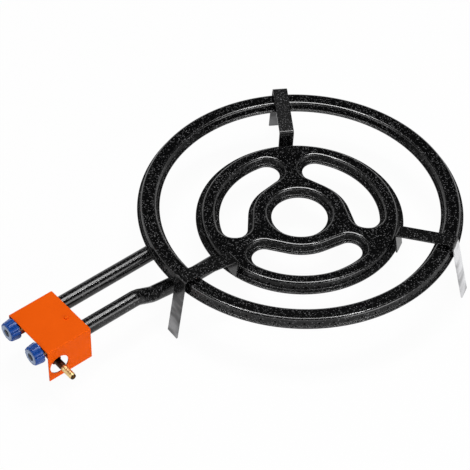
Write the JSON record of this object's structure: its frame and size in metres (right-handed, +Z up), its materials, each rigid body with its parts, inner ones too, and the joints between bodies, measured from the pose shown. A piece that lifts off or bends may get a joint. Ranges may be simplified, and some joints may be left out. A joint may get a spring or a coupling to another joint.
{
  "type": "paella burner",
  "caption": "Round steel gas burner with concentric rings, bent strap feet, feed tubes, an orange control hood, blue turning knobs and a hose barb.",
  "frame": {"origin": "on the common axis of both rings, at the height the feet stand on", "axes": "+Z up, -Y from the rings towards the controls, +X to the right for a person who faces the controls"},
  "size_m": [0.5, 0.7449, 0.1037],
  "materials": {
    "black_enamel": "glossy black vitreous enamel with pale flecks",
    "strap_steel": "black enamel above, bare grey heat-tinted steel on the legs",
    "orange_paint": "satin orange powder coat",
    "zinc_steel": "zinc-plated steel",
    "brass": "turned yellow brass",
    "knob_blue": "semi-gloss blue moulded plastic",
    "knob_bezel": "pale grey-blue dial face",
    "knob_cap": "dark centre cap"
  },
  "bodies": {
    "burner": {"outer_ring_shell": "black_enamel", "outer_ring_floor": "black_enamel", "inner_burner_shell": "black_enamel", "inner_burner_floor": "black_enamel", "support_rear": "strap_steel", "weld_outer_rear": "black_enamel", "weld_inner_rear": "black_enamel", "support_right": "strap_steel", "weld_outer_right": "black_enamel", "weld_inner_right": "black_enamel", "support_front": "strap_steel", "weld_outer_front": "black_enamel", "weld_inner_front": "black_enamel", "feed_tube_outer": "black_enamel", "tube_end_plug_outer": "black_enamel", "feed_neck_outer": "zinc_steel", "feed_tube_inner": "black_enamel", "tube_end_plug_inner": "black_enamel", "feed_neck_inner": "zinc_steel", "weld_tube_outer": "black_enamel", "weld_tube_inner": "black_enamel", "hood": "orange_paint", "bar_bracket": "zinc_steel", "hood_screw": "orange_paint", "hood_screw_nut": "zinc_steel", "bar_screw": "zinc_steel", "gas_bar": "black_enamel", "gas_bar_plug": "zinc_steel", "inlet_elbow": "orange_paint", "hose_barb": "brass", "tube_collar_outer": "zinc_steel", "tap_body_outer": "brass", "gland_nut_outer": "brass", "injector_outer": "brass", "tube_collar_inner": "zinc_steel", "tap_body_inner": "brass", "gland_nut_inner": "brass", "injector_inner": "brass"},
    "knob_outer_body": {"spindle_outer": "zinc_steel", "knob_outer": "knob_blue", "knob_bezel_outer": "knob_bezel", "knob_cap_outer": "knob_cap"},
    "knob_inner_body": {"spindle_inner": "zinc_steel", "knob_inner": "knob_blue", "knob_bezel_inner": "knob_bezel", "knob_cap_inner": "knob_cap"}
  },
  "joints": [
    {"name": "tap_outer_turn", "type": "hinge", "parent": "burner", "child": "knob_outer_body", "pos_m": [-0.0775, -0.485, 0.0725], "axis": [0, -1, 0], "range_deg": [0, 180]},
    {"name": "tap_inner_turn", "type": "hinge", "parent": "burner", "child": "knob_inner_body", "pos_m": [-0.0188, -0.485, 0.0725], "axis": [0, -1, 0], "range_deg": [0, 180]}
  ]
}
